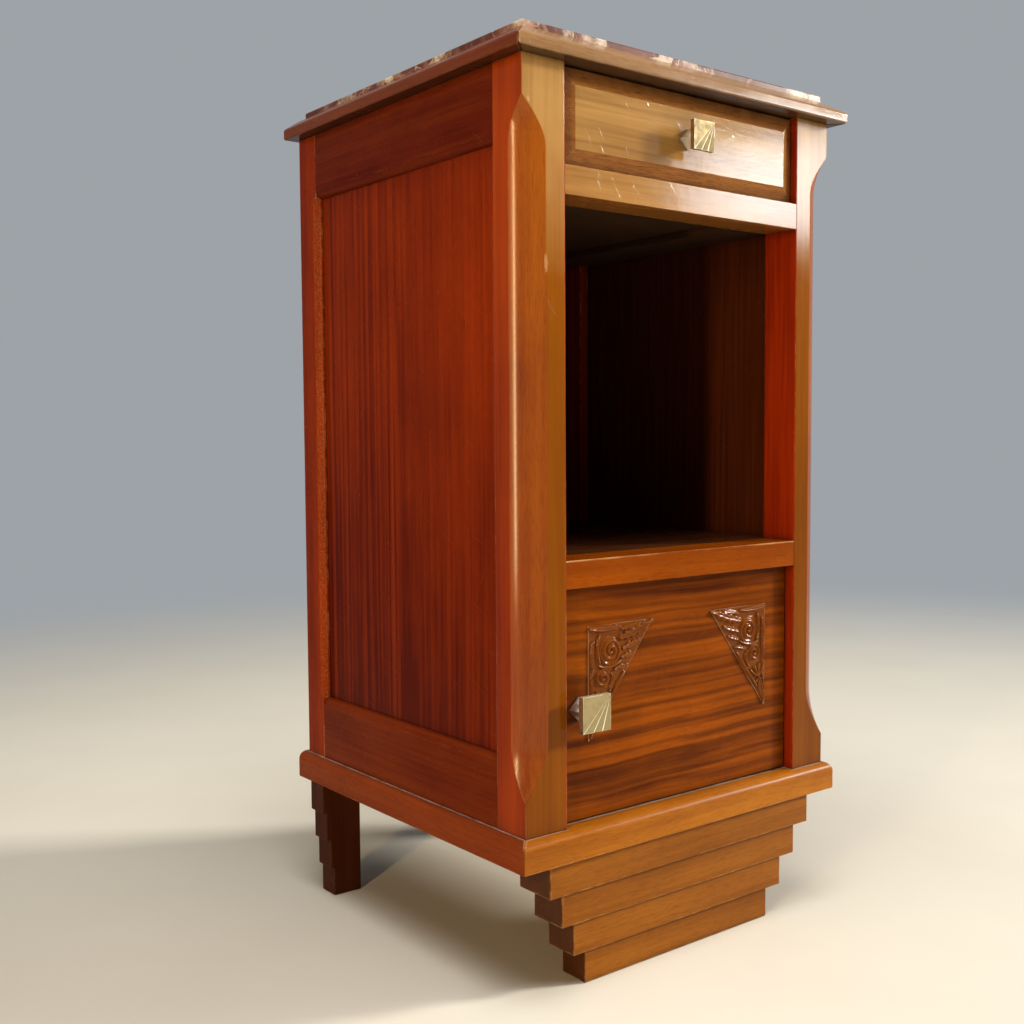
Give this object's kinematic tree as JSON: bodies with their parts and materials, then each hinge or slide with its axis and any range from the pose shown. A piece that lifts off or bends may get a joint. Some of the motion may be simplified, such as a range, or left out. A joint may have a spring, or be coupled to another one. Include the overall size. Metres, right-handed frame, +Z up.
{
  "type": "side cabinet",
  "caption": "Bedside cabinet with an inset marble top, a drawer, an open niche and a hinged door with carved corners, on a stepped plinth and stepped rear legs.",
  "frame": {"origin": "on the floor, under the middle of the bounding box", "axes": "+X to the right seen from the front, +Y from the front to the back, +Z up"},
  "size_m": [0.419, 0.398, 0.8213],
  "materials": {
    "mahogany": "polished red-brown mahogany, worn pale at the edges",
    "veneer": "polished ribbon-stripe mahogany veneer",
    "inner_wood": "plain unpolished carcass wood",
    "carving": "polished carved mahogany",
    "marble": "polished dark red brecciated marble with pale veins",
    "knob_plate": "dull aged brass",
    "knob_foot": "dull nickelled metal",
    "brass": "satin",
    "steel": "satin"
  },
  "bodies": {
    "carcass": {"marble_top": "marble", "cornice_front": "mahogany", "cornice_left": "mahogany", "cornice_right": "mahogany", "cornice_back": "inner_wood", "top_panel": "inner_wood", "front_post_left": "mahogany", "front_post_right": "mahogany", "rear_post_left": "mahogany", "rear_post_right": "mahogany", "side_top_rail_left": "mahogany", "side_top_rail_right": "mahogany", "side_bottom_rail_left": "mahogany", "side_bottom_rail_right": "mahogany", "side_panel_left": "veneer", "side_panel_right": "veneer", "back_panel": "inner_wood", "drawer_rail": "mahogany", "drawer_rear_rail": "inner_wood", "drawer_runner_left": "inner_wood", "drawer_runner_right": "inner_wood", "dust_panel": "inner_wood", "drawer_stops": "inner_wood", "shelf_rail": "mahogany", "shelf_panel": "mahogany", "shelf_bearer_left": "inner_wood", "shelf_bearer_right": "inner_wood", "base_front": "mahogany", "base_left": "mahogany", "base_right": "mahogany", "base_back": "inner_wood", "base_panel": "inner_wood", "plinth_layer_1": "mahogany", "plinth_layer_2": "mahogany", "plinth_layer_3": "mahogany", "plinth_layer_4": "mahogany", "rear_leg_left": "mahogany", "rear_leg_right": "mahogany", "hinge_frame_leaves": "brass", "hinge_frame_screws": "steel", "catch_strike": "brass"},
    "drawer": {"drawer_front": "mahogany", "drawer_side_left": "inner_wood", "drawer_side_right": "inner_wood", "drawer_back": "inner_wood", "drawer_bottom": "inner_wood", "drawer_knob_plate": "knob_plate", "drawer_knob_foot": "knob_foot", "drawer_knob_screw": "steel"},
    "door": {"door_panel": "veneer", "carved_corner_left": "carving", "carved_corner_right": "carving", "door_knob_plate": "knob_plate", "door_knob_foot": "knob_foot", "door_knob_screw": "steel", "hinge_door_leaves": "brass", "hinge_door_screws": "steel", "catch_barrel": "brass", "catch_spring": "steel"},
    "catch_ball": {"catch_ball": "steel"}
  },
  "joints": [
    {"name": "drawer_slide", "type": "slide", "parent": "carcass", "child": "drawer", "axis": [0, -1, 0], "range_m": [0, 0.24]},
    {"name": "door_swing", "type": "hinge", "parent": "carcass", "child": "door", "pos_m": [0.128, -0.1655, 0.2505], "axis": [0, 0, 1], "range_deg": [0, 105]},
    {"name": "catch_press", "type": "slide", "parent": "door", "child": "catch_ball", "axis": [0, 0, -1], "range_m": [0, 0.0018], "stiffness_N_per_m": 1500, "deforming": ["catch_spring"]}
  ]
}
